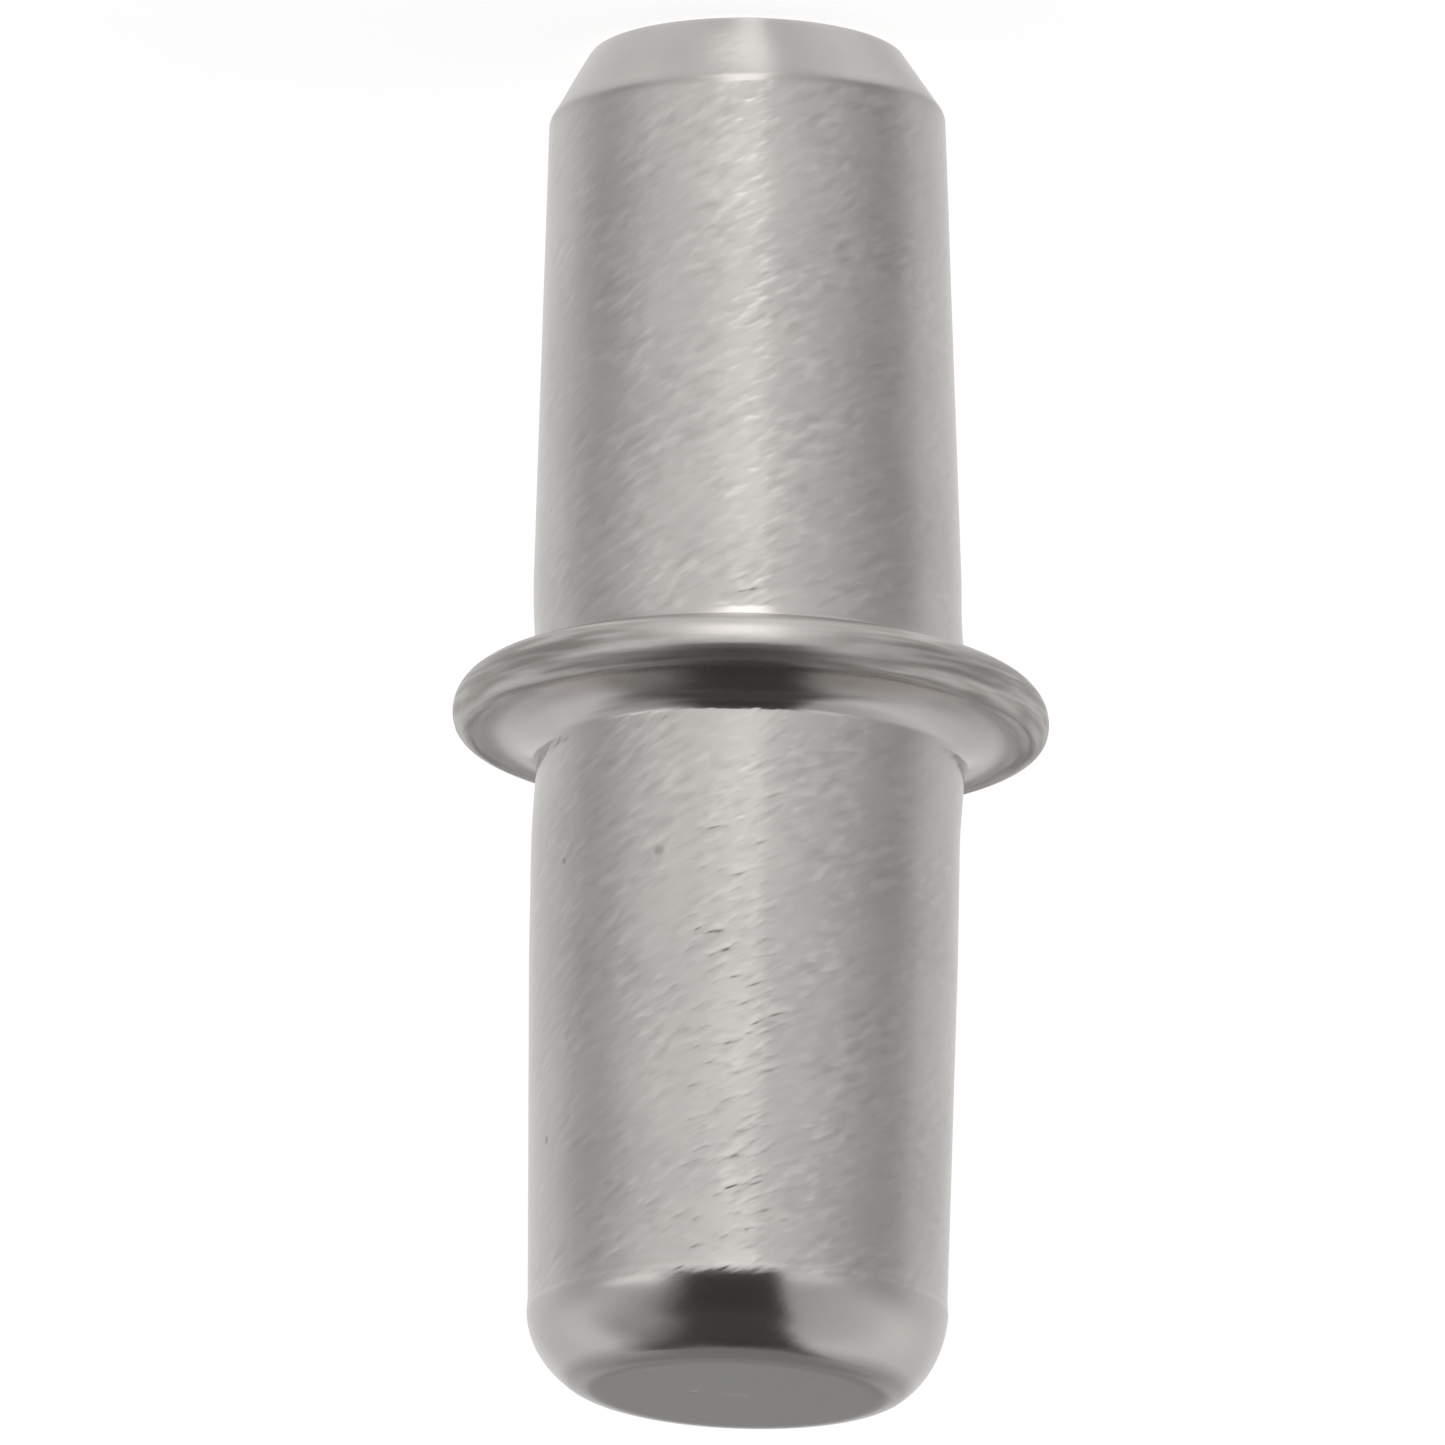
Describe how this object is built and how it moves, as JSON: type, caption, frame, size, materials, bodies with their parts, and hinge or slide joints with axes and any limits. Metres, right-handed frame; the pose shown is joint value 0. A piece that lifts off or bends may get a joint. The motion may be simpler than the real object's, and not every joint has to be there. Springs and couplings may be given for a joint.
{
  "type": "shelf support pin",
  "caption": "Turned steel pin with a round collar between a tapered plug that fits a drilled hole and a peg that carries a shelf.",
  "frame": {"origin": "middle of the plug's flat end, which the pin stands on", "axes": "+Z along the pin's axis, from the plug through the collar to the support peg"},
  "size_m": [0.007, 0.007, 0.0161],
  "materials": {
    "nickel_plate": "satin nickel plate, tumbled, with fine slanting scratches"
  },
  "bodies": {
    "root": {"shelf_pin": "nickel_plate"}
  },
  "joints": []
}
